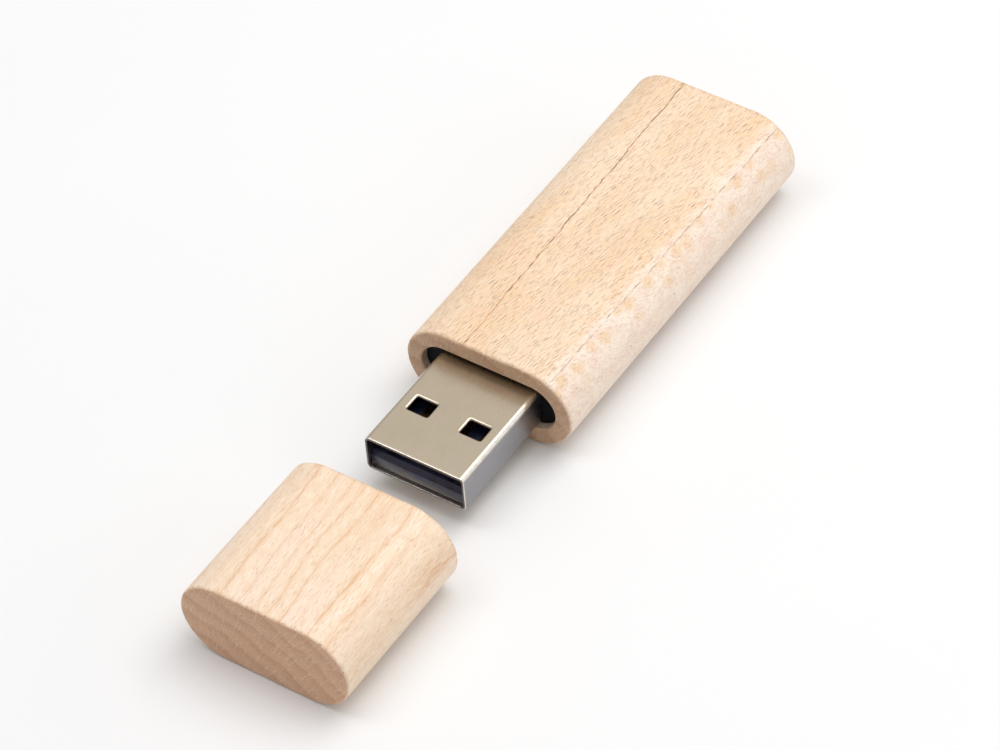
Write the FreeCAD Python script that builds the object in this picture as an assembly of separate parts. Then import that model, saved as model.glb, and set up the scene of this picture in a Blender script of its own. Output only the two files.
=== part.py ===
"""USB flash drive in a solid maple housing with a pull-off maple cap.

Frame, in millimetres: +Z is up and z = 0 is the surface that the drive lies on. The plug points along -Y,
and the cap lies pulled off in front of it, mouth towards the plug. The origin is the bottom centre of the
whole. Each named piece goes to parts/NAME.step.
"""

import FreeCAD, Part
import os

from FreeCAD import Vector

# ---- wood ----------------------------------------------------------------------------------------------
wood_width, wood_height = 20.0, 10.0  # a flat oval, with full half-round sides
housing_length = 44.0
cap_length = 19.25
wood_edge_radius = 0.35  # sanded edge round each end face
wood_centre_z = wood_height / 2

pocket_width, pocket_height = 16.2, 5.8  # milled with a cutter as wide as the pocket is high
pocket_centre_z = 5.1
pocket_depth = 34.0

cavity_width, cavity_height = 15.0, 5.0
cavity_depth = 13.6
magnet_radius, magnet_thickness = 2.4, 2.0
glue_film = 0.15

# ---- plug ----------------------------------------------------------------------------------------------
plug_width, plug_height, plug_length = 12.0, 4.5, 18.8
plug_reach = 13.25  # plug tip to the housing's front face
plug_centre_z = 4.85
plug_sheet = 0.3
plug_corner_radius = 0.6
plug_tip_radius = 0.1

window_width, window_length = 2.5, 2.0  # the latch windows, two in the top and two in the bottom
window_spacing = 6.4
window_setback = 5.4

seam_width, seam_depth = 0.08, 0.12
seam_tab_setback, seam_tab_length, seam_tab_step = 8.4, 2.6, 0.9

leg_length, leg_height = 2.4, 1.9
leg_drop = 0.4  # how far a leg stands out below the board

tongue_thickness = 1.85
tongue_setback = 0.45
tongue_chamfer = 0.5
insulator_block_setback = 9.2  # the insulator fills the shell from here back
insulator_end_gap = 0.4  # insulator to the shell's rear edge
insulator_clearance = 0.02
relief_half_width, relief_height, relief_length = 4.4, 0.9, 1.2

contact_width, contact_thickness, contact_proud = 1.0, 0.25, 0.05
contact_nose_drop, contact_nose_length = 0.2, 0.35
tail_width = 0.7
tail_start, tail_bend, tail_end = -0.9, (0.2, 0.7), 2.2  # measured from the shell's rear edge
contact_places = {  # name: (x, setback of the nose from the plug's tip)
    "contact_ground": (-3.5, 1.9),
    "contact_data_plus": (-1.0, 2.9),
    "contact_data_minus": (1.0, 2.9),
    "contact_power": (3.5, 1.9),
}

# ---- how far the cap is off, and the places that follow ------------------------------------------------
open_gap = 7.0  # plug tip to the cap's mouth
total_length = housing_length + plug_reach + open_gap + cap_length
rear_y = total_length / 2
front_y = rear_y - housing_length
tip_y = front_y - plug_reach
plug_rear_y = tip_y + plug_length
mouth_y = tip_y - open_gap
cap_end_y = mouth_y - cap_length
cavity_end_y = mouth_y - cavity_depth

# ---- circuit board: a place on it is (x, distance behind its front edge) -------------------------------
board_thickness = 0.8
board_top_z = 4.3
board_bottom_z = board_top_z - board_thickness
board_front_y = plug_rear_y + 0.2
board_length = 26.6
board_half_width = 7.15
neck_half_width, neck_length = 5.55, 2.7  # the narrow front, which goes between the shell's legs
board_corner_radius = 0.8
via_radius = 0.2
via_places = [(-5.9, 5.7), (5.9, 5.7), (-5.9, 14.0), (5.9, 14.0), (0, 25.4), (3.4, 4.6), (-3.4, 4.6)]

solder_half_width, solder_height, solder_radius = 0.55, 0.42, 0.25
solder_overlap, solder_toe = 0.9, 0.5
leg_solder_setback, leg_solder_length = 0.3, 1.7
leg_solder_width, leg_solder_height = 0.9, 0.8

part_standoff = 0.1  # gap between a chip and the board
chip_draft = 0.12
pin_mark_radius, pin_mark_depth, pin_mark_inset = 0.35, 0.08, 1.0
lead_pitch, lead_width, lead_thickness = 0.5, 0.22, 0.13
lead_knee, lead_slope = 0.3, 0.15  # shares of a lead's reach and of its drop

controller_size, controller_thickness = 7.0, 1.4
controller_place = (-0.6, 10.1)
controller_leads_a_side, controller_lead_reach = 12, 1.0

memory_width, memory_length, memory_thickness = 12.0, 18.4, 1.0
memory_place = (0.0, 15.8)
memory_leads_an_end, memory_lead_reach = 24, 0.8

crystal_width, crystal_length = 5.0, 3.2
crystal_place = (0.3, 18.1)
crystal_base_height, crystal_lid_height = 0.7, 0.3
crystal_lid_inset, crystal_lid_radius = 0.3, 0.12

regulator_width, regulator_length, regulator_height = 1.4, 2.9, 1.0
regulator_chamfer = 0.12
regulator_place = (-4.7, 22.5)
regulator_lead_reach, regulator_lead_width, regulator_lead_thickness = 0.55, 0.4, 0.15
regulator_lead_spacing = 0.95

small_length, small_width, small_end = 1.6, 0.8, 0.35  # capacitors, resistors and the bead
small_body_inset = 0.02
capacitor_height, resistor_height = 0.8, 0.45
capacitor_places = [  # (x, distance behind the board's front edge, lies along X)
    (-4.9, 16.1, False),
    (-4.9, 19.3, False),
    (4.6, 16.3, False),
    (4.6, 19.7, False),
    (5.4, 7.7, False),
    (-2.4, 21.9, True),
    (2.8, 21.9, True),
]
resistor_places = [
    (-1.0, 4.4, False),
    (1.0, 4.4, False),
    (5.4, 9.9, False),
    (5.4, 12.1, False),
    (0.2, 21.9, True),
]
bead_places = [(4.2, 4.4, False)]

# ---- carrier that holds the plug and the board in the pocket -------------------------------------------
carrier_width, carrier_height = 16.0, 5.6
collar_front_y = front_y + 0.9
collar_rear_y = plug_rear_y - 0.4
rail_front_y = collar_rear_y - 0.5
rail_rear_y = board_front_y + board_length + 0.4
rail_inner_x, rail_half_height = 6.55, 1.5
rail_centre_z = (board_top_z + board_bottom_z) / 2
plug_fit, board_fit = 0.02, 0.03
glue_inner_x, glue_length, glue_half_height = 6.85, 2.6, 1.2
glue_starts = (collar_front_y + 0.8, front_y + 24.0)

beyond = 1.0  # how far a cutter runs past the face that it cuts
tiny = 1e-6


def box(x, y, z):
    """A box between pairs (low, high) on each axis."""
    size = [high - low for low, high in (x, y, z)]
    return Part.makeBox(*size, Vector(x[0], y[0], z[0]))


def oval_bar(width, height, y, centre_z):
    """A bar between y[0] and y[1] whose section is two straight runs joined by half circles."""
    reach = (width - height) / 2
    top, low = centre_z + height / 2, centre_z - height / 2
    top_left, top_right = Vector(-reach, y[0], top), Vector(reach, y[0], top)
    low_left, low_right = Vector(-reach, y[0], low), Vector(reach, y[0], low)
    left, right = Vector(-width / 2, y[0], centre_z), Vector(width / 2, y[0], centre_z)
    outline = Part.Wire(
        [
            Part.makeLine(top_left, top_right),
            Part.Arc(top_right, right, low_right).toShape(),
            Part.makeLine(low_right, low_left),
            Part.Arc(low_left, left, top_left).toShape(),
        ]
    )
    return Part.Face(outline).extrude(Vector(0, y[1] - y[0], 0))


def rounded_bar(width, height, radius, y, centre_z):
    """A bar along Y whose four long edges are rounded."""
    bar = box((-width / 2, width / 2), y, (centre_z - height / 2, centre_z + height / 2))
    long_edges = [e for e in bar.Edges if e.BoundBox.YLength > tiny]
    return bar.makeFillet(radius, long_edges)


def round_end_edges(shape, y, radius):
    """Rounds every edge that lies in the plane at y."""
    edges = [e for e in shape.Edges if abs(e.BoundBox.YMin - y) < tiny and abs(e.BoundBox.YMax - y) < tiny]
    return shape.makeFillet(radius, edges)


def edges_at_top(shape):
    """The edges of a shape's highest face."""
    top = shape.BoundBox.ZMax
    return [e for e in shape.Edges if e.BoundBox.ZMin > top - tiny]


def strip_along_y(centres, thickness, width, x):
    """A flat strip of metal: (y, z) points of its mid line, moved half its width each way from x."""
    half = thickness / 2
    upper = [Vector(x - width / 2, y, z + half) for y, z in centres]
    lower = [Vector(x - width / 2, y, z - half) for y, z in reversed(centres)]
    outline = Part.makePolygon(upper + lower + upper[:1])
    return Part.Face(outline).extrude(Vector(width, 0, 0))


def turned(shape, degrees, centre):
    """A copy turned about the vertical through centre."""
    copy = shape.copy()
    copy.rotate(Vector(*centre, 0), Vector(0, 0, 1), degrees)
    return copy


def shifted(shape, x):
    """A copy moved along X."""
    copy = shape.copy()
    copy.translate(Vector(x, 0, 0))
    return copy


def on_board(place):
    """The (x, y) of a place that is given from the board's front edge."""
    return (place[0], board_front_y + place[1])


def flat_block(width, length, place, z):
    """A box centred on a place on the board."""
    x, y = on_board(place)
    return box((x - width / 2, x + width / 2), (y - length / 2, y + length / 2), z)


def group(solids):
    """Separate solids that share one node."""
    return Part.makeCompound(solids)


# ---- the two wooden pieces and what is in the cap ------------------------------------------------------
def wood_block(y):
    """A length of the flat-oval wood with sanded end edges."""
    block = oval_bar(wood_width, wood_height, y, wood_centre_z)
    for end in y:
        block = round_end_edges(block, end, wood_edge_radius)
    return block


def wood_housing():
    pocket_y = (front_y - beyond, front_y + pocket_depth)
    return wood_block((front_y, rear_y)).cut(oval_bar(pocket_width, pocket_height, pocket_y, pocket_centre_z))


def cap_disc(depth_from, depth_to):
    """A disc on the plug's axis, between two depths below the cavity's end."""
    centre = Vector(0, cavity_end_y - depth_to, plug_centre_z)
    return Part.makeCylinder(magnet_radius, depth_to - depth_from, centre, Vector(0, 1, 0))


def wood_cap():
    cavity = oval_bar(cavity_width, cavity_height, (cavity_end_y, mouth_y + beyond), plug_centre_z)
    return wood_block((cap_end_y, mouth_y)).cut([cavity, cap_disc(0, magnet_thickness + glue_film)])


def cap_magnet():
    return cap_disc(0, magnet_thickness)


def magnet_glue():
    return cap_disc(magnet_thickness, magnet_thickness + glue_film)


# ---- plug ----------------------------------------------------------------------------------------------
def shell_bore(clearance, y):
    """The shell's inner space, less a clearance all round."""
    shrink = 2 * (plug_sheet + clearance)
    radius = plug_corner_radius - plug_sheet
    return rounded_bar(plug_width - shrink, plug_height - shrink, radius, y, plug_centre_z)


def latch_windows():
    """The cutters of the four windows, in the shell's top and bottom."""
    start = tip_y + window_setback
    cutters = []
    for middle in (-window_spacing / 2, window_spacing / 2):
        across = (middle - window_width / 2, middle + window_width / 2)
        for wall in (plug_centre_z - plug_height / 2, plug_centre_z + plug_height / 2):
            heights = (wall - 1.5 * plug_sheet, wall + 1.5 * plug_sheet)
            cutters.append(box(across, (start, start + window_length), heights))
    return cutters


def seam_groove():
    """The line along the shell's underside where the rolled sheet meets itself, with one tab."""
    low = plug_centre_z - plug_height / 2
    heights = (low - beyond, low + seam_depth)
    tab = (tip_y + seam_tab_setback, tip_y + seam_tab_setback + seam_tab_length)
    middle = (-seam_width / 2, seam_width / 2)
    stepped = (middle[0] + seam_tab_step, middle[1] + seam_tab_step)
    runs = [
        box(middle, (tip_y - beyond, tab[0]), heights),
        box(stepped, tab, heights),
        box(middle, (tab[1], plug_rear_y + beyond), heights),
    ]
    steps = [box((middle[0], stepped[1]), (y, y + seam_width), heights) for y in tab]
    return runs + steps


def shell_legs():
    """The two tabs at the shell's rear that are soldered to the board's neck."""
    low = board_bottom_z - leg_drop
    along = (plug_rear_y - plug_sheet, plug_rear_y + leg_length)
    legs = []
    for side in (-1, 1):
        across = sorted((side * plug_width / 2, side * (plug_width / 2 - plug_sheet)))
        legs.append(box(across, along, (low, low + leg_height)))
    return legs


def plug_shell():
    tube = rounded_bar(plug_width, plug_height, plug_corner_radius, (tip_y, plug_rear_y), plug_centre_z)
    tube = round_end_edges(tube, tip_y, plug_tip_radius)
    tube = tube.cut(shell_bore(0, (tip_y - beyond, plug_rear_y + beyond)))
    return tube.multiFuse(shell_legs()).removeSplitter().cut(latch_windows() + seam_groove())


def tongue_top_z():
    return plug_centre_z - plug_height / 2 + plug_sheet + tongue_thickness


def contact(x, setback):
    """One gold strip: its nose dips into the tongue, and its tail steps down to the board."""
    mid = tongue_top_z() + contact_proud - contact_thickness / 2
    nose = tip_y + setback
    shoulder = plug_rear_y + tail_start
    tail_z = board_top_z + contact_thickness / 2
    blade_line = [(nose, mid - contact_nose_drop), (nose + contact_nose_length, mid), (shoulder, mid)]
    tail_line = [
        (shoulder, mid),
        (plug_rear_y + tail_bend[0], mid),
        (plug_rear_y + tail_bend[1], tail_z),
        (plug_rear_y + tail_end, tail_z),
    ]
    blade = strip_along_y(blade_line, contact_thickness, contact_width, x)
    tail = strip_along_y(tail_line, contact_thickness, tail_width, x)
    return blade.fuse(tail).removeSplitter()


def contacts():
    return {name: contact(*place) for name, place in contact_places.items()}


def tongue_lip(y, top):
    """The cutter of the slope on the front edge of the tongue."""
    slope = [
        (y + tongue_chamfer, top),
        (y + tongue_chamfer, top + beyond),
        (y - beyond, top + beyond),
        (y - beyond, top - tongue_chamfer),
        (y, top - tongue_chamfer),
    ]
    points = [Vector(-plug_width, a, z) for a, z in slope + slope[:1]]
    return Part.Face(Part.makePolygon(points)).extrude(Vector(2 * plug_width, 0, 0))


def plug_insulator():
    """The black block in the shell, with the tongue that carries the contacts."""
    start, end = tip_y + tongue_setback, plug_rear_y - insulator_end_gap
    top = tongue_top_z()
    full = shell_bore(insulator_clearance, (start, end))
    space_y = (start - beyond, tip_y + insulator_block_setback)
    space = box((-plug_width, plug_width), space_y, (top, top + plug_height))
    floor = full.BoundBox.ZMin
    relief = box(
        (-relief_half_width, relief_half_width),
        (end - relief_length, end + beyond),
        (floor - beyond, floor + relief_height),
    )
    return full.cut([space, tongue_lip(start, top), relief]).cut(list(contacts().values()))


# ---- board and what is soldered to it ------------------------------------------------------------------
def circuit_board():
    neck_y, rear = board_front_y + neck_length, board_front_y + board_length
    half = [
        (neck_half_width, board_front_y),
        (neck_half_width, neck_y),
        (board_half_width, neck_y),
        (board_half_width, rear),
    ]
    outline = half + [(-x, y) for x, y in reversed(half)]
    points = [Vector(x, y, board_bottom_z) for x, y in outline + outline[:1]]
    board = Part.Face(Part.makePolygon(points)).extrude(Vector(0, 0, board_thickness))
    corners = [e for e in board.Edges if e.BoundBox.YMin > rear - tiny and e.BoundBox.ZLength > tiny]
    board = board.makeFillet(board_corner_radius, corners)
    starts = [Vector(*on_board(place), board_bottom_z) for place in via_places]
    return board.cut([Part.makeCylinder(via_radius, board_thickness, start) for start in starts])


def contact_solder():
    """A rounded mound of solder over the end of each contact tail."""
    end = plug_rear_y + tail_end
    along = (end - solder_overlap, end + solder_toe)
    mounds = []
    for x, _ in contact_places.values():
        across = (x - solder_half_width, x + solder_half_width)
        mound = box(across, along, (board_top_z, board_top_z + solder_height))
        mound = mound.makeFillet(solder_radius, edges_at_top(mound))
        mounds.append(mound.cut(list(contacts().values())))
    return group(mounds)


def leg_solder():
    """A fillet of solder between each leg of the shell and the board's neck."""
    y = board_front_y + leg_solder_setback
    mounds = []
    for side in (-1, 1):
        wall = side * (plug_width / 2 - plug_sheet)
        toe = Vector(wall - side * leg_solder_width, y, board_top_z)
        foot = Vector(wall, y, board_top_z)
        head = Vector(wall, y, board_top_z + leg_solder_height)
        section = Part.Face(Part.makePolygon([toe, foot, head, toe]))
        mounds.append(section.extrude(Vector(0, leg_solder_length, 0)))
    return group(mounds)


def chip_package(width, length, thickness, place, low_z):
    """A moulded package whose sides slope in above and below its middle."""
    x, y = on_board(place)

    def rectangle(level, inset):
        half_x, half_y = width / 2 - inset, length / 2 - inset
        corners = [(-half_x, -half_y), (half_x, -half_y), (half_x, half_y), (-half_x, half_y)]
        return Part.makePolygon([Vector(x + a, y + b, level) for a, b in corners + corners[:1]])

    middle = rectangle(low_z + thickness / 2, 0)
    lower = Part.makeLoft([rectangle(low_z, chip_draft), middle], True, True)
    upper = Part.makeLoft([middle, rectangle(low_z + thickness, chip_draft)], True, True)
    return lower.fuse(upper)


def pin_mark(width, length, place, low_z):
    """The cutter of the shallow round mark beside pin one."""
    x, y = on_board(place)
    corner = Vector(x - width / 2 + pin_mark_inset, y - length / 2 + pin_mark_inset, low_z)
    return Part.makeCylinder(pin_mark_radius, pin_mark_depth, corner)


def gull_lead(reach, foot_z, shoulder_z, inner_y, width, thickness):
    """One bent lead about x = 0 that leaves its package at inner_y and comes to the board at foot_z."""
    away = 1 if shoulder_z > foot_z else -1
    foot_mid = foot_z + away * thickness / 2
    knee = inner_y + lead_knee * reach
    ankle = knee + lead_slope * abs(shoulder_z - foot_z)
    line = [(inner_y, shoulder_z), (knee, shoulder_z), (ankle, foot_mid), (inner_y + reach, foot_mid)]
    return strip_along_y(line, thickness, width, 0)


def lead_rows(lead, place, count, turns):
    """Copies of a lead at the lead pitch, in one row for each turn about the chip's centre."""
    centre = on_board(place)
    offsets = [centre[0] + (k - (count - 1) / 2) * lead_pitch for k in range(count)]
    return group([turned(shifted(lead, x), degrees, centre) for degrees in turns for x in offsets])


def controller_chip():
    low = board_top_z + part_standoff
    body = chip_package(controller_size, controller_size, controller_thickness, controller_place, low)
    mark_z = low + controller_thickness - pin_mark_depth
    return body.cut(pin_mark(controller_size, controller_size, controller_place, mark_z))


def controller_leads():
    shoulder = board_top_z + part_standoff + controller_thickness / 2
    inner = on_board(controller_place)[1] + controller_size / 2
    lead = gull_lead(controller_lead_reach, board_top_z, shoulder, inner, lead_width, lead_thickness)
    return lead_rows(lead, controller_place, controller_leads_a_side, (0, 90, 180, 270))


def memory_chip():
    """The flash chip, under the board."""
    low = board_bottom_z - part_standoff - memory_thickness
    body = chip_package(memory_width, memory_length, memory_thickness, memory_place, low)
    return body.cut(pin_mark(memory_width, memory_length, memory_place, low))


def memory_leads():
    shoulder = board_bottom_z - part_standoff - memory_thickness / 2
    inner = on_board(memory_place)[1] + memory_length / 2
    lead = gull_lead(memory_lead_reach, board_bottom_z, shoulder, inner, lead_width, lead_thickness)
    return lead_rows(lead, memory_place, memory_leads_an_end, (0, 180))


def crystal_base():
    heights = (board_top_z, board_top_z + crystal_base_height)
    return flat_block(crystal_width, crystal_length, crystal_place, heights)


def crystal_lid():
    low = board_top_z + crystal_base_height
    width, length = crystal_width - 2 * crystal_lid_inset, crystal_length - 2 * crystal_lid_inset
    lid = flat_block(width, length, crystal_place, (low, low + crystal_lid_height))
    return lid.makeFillet(crystal_lid_radius, edges_at_top(lid))


def regulator_body():
    low = board_top_z + part_standoff
    block = flat_block(regulator_width, regulator_length, regulator_place, (low, low + regulator_height))
    return block.makeChamfer(regulator_chamfer, edges_at_top(block))


def regulator_leads():
    """Two leads on one long side of the regulator and one on the other."""
    x, y = on_board(regulator_place)
    shoulder = board_top_z + part_standoff + regulator_height / 2
    inner = y + regulator_width / 2
    width, thickness = regulator_lead_width, regulator_lead_thickness
    lead = gull_lead(regulator_lead_reach, board_top_z, shoulder, inner, width, thickness)
    rows = ((90, -regulator_lead_spacing), (90, regulator_lead_spacing), (270, 0))
    return group([turned(shifted(lead, x + along), degrees, (x, y)) for degrees, along in rows])


def small_bodies(places, height):
    """The middles of two-ended parts."""
    width, length = small_width - 2 * small_body_inset, small_length - 2 * small_end
    heights = (board_top_z + small_body_inset, board_top_z + height - small_body_inset)
    solids = []
    for x, back, along_x in places:
        body = flat_block(width, length, (x, back), heights)
        solids.append(turned(body, 90 if along_x else 0, on_board((x, back))))
    return group(solids)


def small_ends(places, height):
    """The metal caps at both ends of two-ended parts."""
    heights = (board_top_z, board_top_z + height)
    solids = []
    for x, back, along_x in places:
        for side in (-1, 1):
            end_place = (x, back + side * (small_length - small_end) / 2)
            end = flat_block(small_width, small_end, end_place, heights)
            solids.append(turned(end, 90 if along_x else 0, on_board((x, back))))
    return group(solids)


# ---- carrier and glue ----------------------------------------------------------------------------------
def carrier_section(y):
    return oval_bar(carrier_width, carrier_height, y, pocket_centre_z)


def board_carrier():
    """A collar round the back of the plug, with two grooved rails that the board's edges slide into."""
    hole_width, hole_height = plug_width + 2 * plug_fit, plug_height + 2 * plug_fit
    hole_y = (collar_front_y - beyond, collar_rear_y + beyond)
    hole = rounded_bar(hole_width, hole_height, plug_corner_radius, hole_y, plug_centre_z)
    collar = carrier_section((collar_front_y, collar_rear_y)).cut(hole)
    along = (rail_front_y, rail_rear_y)
    heights = (rail_centre_z - rail_half_height, rail_centre_z + rail_half_height)
    rails = []
    for side in (-1, 1):
        across = sorted((side * rail_inner_x, side * carrier_width))
        rails.append(carrier_section(along).common(box(across, along, heights)))
    groove = box(
        (-board_half_width - board_fit, board_half_width + board_fit),
        (board_front_y, rail_rear_y + beyond),
        (board_bottom_z - board_fit, board_top_z + board_fit),
    )
    return collar.multiFuse(rails).removeSplitter().cut(groove)


def carrier_glue():
    """Four beads of hot-melt glue between the carrier's sides and the pocket."""
    heights = (rail_centre_z - glue_half_height, rail_centre_z + glue_half_height)
    beads = []
    for start in glue_starts:
        along = (start, start + glue_length)
        ring = oval_bar(pocket_width, pocket_height, along, pocket_centre_z).cut(carrier_section(along))
        for side in (-1, 1):
            across = sorted((side * glue_inner_x, side * pocket_width))
            beads.extend(ring.common(box(across, along, heights)).Solids)
    return group(beads)


def pieces():
    """Every named piece of the drive."""
    made = {
        "wood_housing": wood_housing(),
        "wood_cap": wood_cap(),
        "cap_magnet": cap_magnet(),
        "magnet_glue": magnet_glue(),
        "plug_shell": plug_shell(),
        "plug_insulator": plug_insulator(),
        "circuit_board": circuit_board(),
        "contact_solder": contact_solder(),
        "leg_solder": leg_solder(),
        "controller_chip": controller_chip(),
        "controller_leads": controller_leads(),
        "memory_chip": memory_chip(),
        "memory_leads": memory_leads(),
        "crystal_base": crystal_base(),
        "crystal_lid": crystal_lid(),
        "capacitor_bodies": small_bodies(capacitor_places, capacitor_height),
        "capacitor_ends": small_ends(capacitor_places, capacitor_height),
        "resistor_bodies": small_bodies(resistor_places, resistor_height),
        "resistor_ends": small_ends(resistor_places, resistor_height),
        "ferrite_bead": small_bodies(bead_places, capacitor_height),
        "ferrite_bead_ends": small_ends(bead_places, capacitor_height),
        "regulator_body": regulator_body(),
        "regulator_leads": regulator_leads(),
        "board_carrier": board_carrier(),
        "carrier_glue": carrier_glue(),
    }
    made.update(contacts())
    return made


def main():
    os.makedirs("parts", exist_ok=True)
    for name, shape in pieces().items():
        sound = shape.isValid() and all(solid.isClosed() for solid in shape.Solids)
        print(f"{name}: {len(shape.Solids)} solids, {shape.Volume:.2f} mm3, {'ok' if sound else 'BAD'}")
        shape.exportStep(f"parts/{name}.step")
    print(f"front face y {front_y}, plug tip y {tip_y}, cap mouth y {mouth_y}, to closed {front_y - mouth_y}")


main()
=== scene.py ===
"""Looks of a USB flash drive in a maple housing, with its maple cap pulled off in front of the plug.

Lengths are in metres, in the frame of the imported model: +Z up, and the plug points along -Y.
MM is a millimetre. The materials work in millimetres, because their grain is that fine.
"""

import math

import bmesh
import bpy
from mathutils import Matrix, Vector, noise


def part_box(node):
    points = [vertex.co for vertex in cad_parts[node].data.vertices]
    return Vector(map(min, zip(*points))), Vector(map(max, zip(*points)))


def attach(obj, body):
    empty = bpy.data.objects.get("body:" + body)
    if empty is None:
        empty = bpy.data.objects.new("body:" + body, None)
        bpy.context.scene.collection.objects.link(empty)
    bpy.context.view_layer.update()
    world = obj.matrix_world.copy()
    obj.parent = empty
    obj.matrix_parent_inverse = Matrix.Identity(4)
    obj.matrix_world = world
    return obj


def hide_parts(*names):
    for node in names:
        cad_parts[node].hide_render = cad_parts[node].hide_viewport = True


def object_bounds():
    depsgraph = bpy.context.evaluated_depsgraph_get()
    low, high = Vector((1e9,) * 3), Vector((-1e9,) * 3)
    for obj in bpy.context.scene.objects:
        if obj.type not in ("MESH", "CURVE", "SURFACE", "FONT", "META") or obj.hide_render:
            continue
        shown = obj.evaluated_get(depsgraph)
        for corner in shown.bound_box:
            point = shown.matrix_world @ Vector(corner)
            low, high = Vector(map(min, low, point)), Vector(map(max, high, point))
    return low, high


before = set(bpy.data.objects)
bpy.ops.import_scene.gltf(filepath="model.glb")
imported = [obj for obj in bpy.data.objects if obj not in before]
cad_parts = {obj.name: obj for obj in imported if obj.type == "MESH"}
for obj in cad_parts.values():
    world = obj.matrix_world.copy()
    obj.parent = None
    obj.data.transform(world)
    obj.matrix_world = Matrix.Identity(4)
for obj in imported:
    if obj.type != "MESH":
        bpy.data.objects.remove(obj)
cad_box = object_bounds()

MM = 0.001
CONTACTS = ("contact_ground", "contact_data_plus", "contact_data_minus", "contact_power")

# ---- places read from the frame --------------------------------------------------------------------
housing_low, housing_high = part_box("wood_housing")
cap_low, cap_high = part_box("wood_cap")
shell_low, shell_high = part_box("plug_shell")
magnet_low, magnet_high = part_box("cap_magnet")
insulator_low, insulator_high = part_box("plug_insulator")
glue_low, glue_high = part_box("carrier_glue")

FRONT_Y = housing_low.y
REAR_Y = housing_high.y
MOUTH_Y = cap_high.y
CAP_END_Y = cap_low.y
TIP_Y = shell_low.y
WOOD_WIDTH = housing_high.x - housing_low.x
WOOD_HEIGHT = housing_high.z - housing_low.z
WOOD_Z = (housing_low.z + housing_high.z) / 2
PLUG_WIDTH = shell_high.x - shell_low.x
PLUG_HEIGHT = shell_high.z - shell_low.z
PLUG_Z = (shell_low.z + shell_high.z) / 2

# ---- details, most of which the boxes don't give ---------------------------------------------------
POCKET_WIDTH = glue_high.x - glue_low.x
POCKET_HEIGHT = 5.8 * MM
POCKET_Z = 5.1 * MM
POCKET_DEPTH = 34.0 * MM
CAVITY_WIDTH, CAVITY_HEIGHT = 15.0 * MM, 5.0 * MM
CAVITY_END_Y = magnet_high.y
MAGNET_RADIUS = (magnet_high.x - magnet_low.x) / 2
MAGNET_SEAT_DEPTH = 2.15 * MM
MAGNET_CLEARANCE = 0.01 * MM
MAGNET_ROLL = 0.15 * MM
WOOD_EDGE = 0.35 * MM
FACE_BORDER = 0.3 * MM
SANDED_DEPTH, SANDED_WAVE = 0.018 * MM, 1.1 * MM
CHIP_DEPTH, CHIP_SIZE = 0.16 * MM, 0.45 * MM
RIM_CHAMFER = 0.12 * MM
SHEET = 0.3 * MM
TIP_ROLL = 0.15 * MM
PLUG_CORNER = 0.6 * MM
WINDOW = Vector((2.5 * MM, 2.0 * MM))
WINDOW_CORNER = 0.16 * MM
WINDOW_ROLL = 0.24 * MM
WINDOW_SPACING = 6.4 * MM
WINDOW_SETBACK = 5.4 * MM
SHELL_LENGTH = 18.8 * MM
LEG_HEIGHT = 1.9 * MM
LEG_LIFT = 0.2 * MM
SEAM_WIDTH, SEAM_DEPTH = 0.08 * MM, 0.12 * MM
SEAM_LENGTH = 18.0 * MM
TAB_START, TAB_END, TAB_WIDTH = 8.4 * MM, 11.0 * MM, 0.9 * MM
BLOCK_SETBACK = 9.2 * MM
TONGUE_HEIGHT = 1.85 * MM
TONGUE_SLOPE = 0.5 * MM
GROOVE_DEPTH, GROOVE_RISE, GROOVE_ROOM = 0.2 * MM, 0.06 * MM, 0.1 * MM
SMALL_BEVEL = 0.06 * MM

# ---- the camera's place ----------------------------------------------------------------------------
CAMERA_AZIMUTH = math.radians(37.2)
CAMERA_ELEVATION = math.radians(46.5)
CAMERA_ROLL = math.radians(-5.25)
CAMERA_DISTANCE = 0.4827
CAMERA_LENS = 171.1
SENSOR_WIDTH = 36.0


# ==== mesh making ===================================================================================
def oval_ring(width, height, centre_z, y, arc=36, flat=36):
    """Points round a flat oval: along the top, round the right side, back below, up the left side."""
    radius = height / 2
    reach = width / 2 - radius
    points = [Vector((-reach + 2 * reach * k / flat, y, centre_z + radius)) for k in range(flat)]
    for k in range(arc):
        turn = math.pi * k / arc
        points.append(Vector((reach + radius * math.sin(turn), y, centre_z + radius * math.cos(turn))))
    points += [Vector((reach - 2 * reach * k / flat, y, centre_z - radius)) for k in range(flat)]
    for k in range(arc):
        turn = math.pi * k / arc
        points.append(Vector((-reach - radius * math.sin(turn), y, centre_z - radius * math.cos(turn))))
    return points


def circle_ring(radius, centre_z, y, like):
    """Points on a circle, each in the direction of the matching point of another ring."""
    centre = Vector((0, y, centre_z))
    return [centre + Vector((p.x, 0, p.z - centre_z)).normalized() * radius for p in like]


def rounded_ring(width, height, corner, centre_z, y, steps=8):
    """Points round a rectangle with rounded corners, at y."""
    points = []
    for quarter, (side_x, side_z) in enumerate(((1, 1), (1, -1), (-1, -1), (-1, 1))):
        centre = Vector((side_x * (width / 2 - corner), y, centre_z + side_z * (height / 2 - corner)))
        for k in range(steps + 1):
            turn = math.pi / 2 * (quarter + k / steps)
            points.append(centre + corner * Vector((math.sin(turn), 0, math.cos(turn))))
    return points


def mesh_object(name, bm, sharp_angle=35):
    """A smooth-shaded object from a bmesh, with edges over an angle kept sharp."""
    bmesh.ops.recalc_face_normals(bm, faces=bm.faces)
    mesh = bpy.data.meshes.new(name)
    bm.to_mesh(mesh)
    bm.free()
    mesh.polygons.foreach_set("use_smooth", [True] * len(mesh.polygons))
    mesh.set_sharp_from_angle(angle=math.radians(sharp_angle))
    obj = bpy.data.objects.new(name, mesh)
    bpy.context.scene.collection.objects.link(obj)
    return obj


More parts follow.
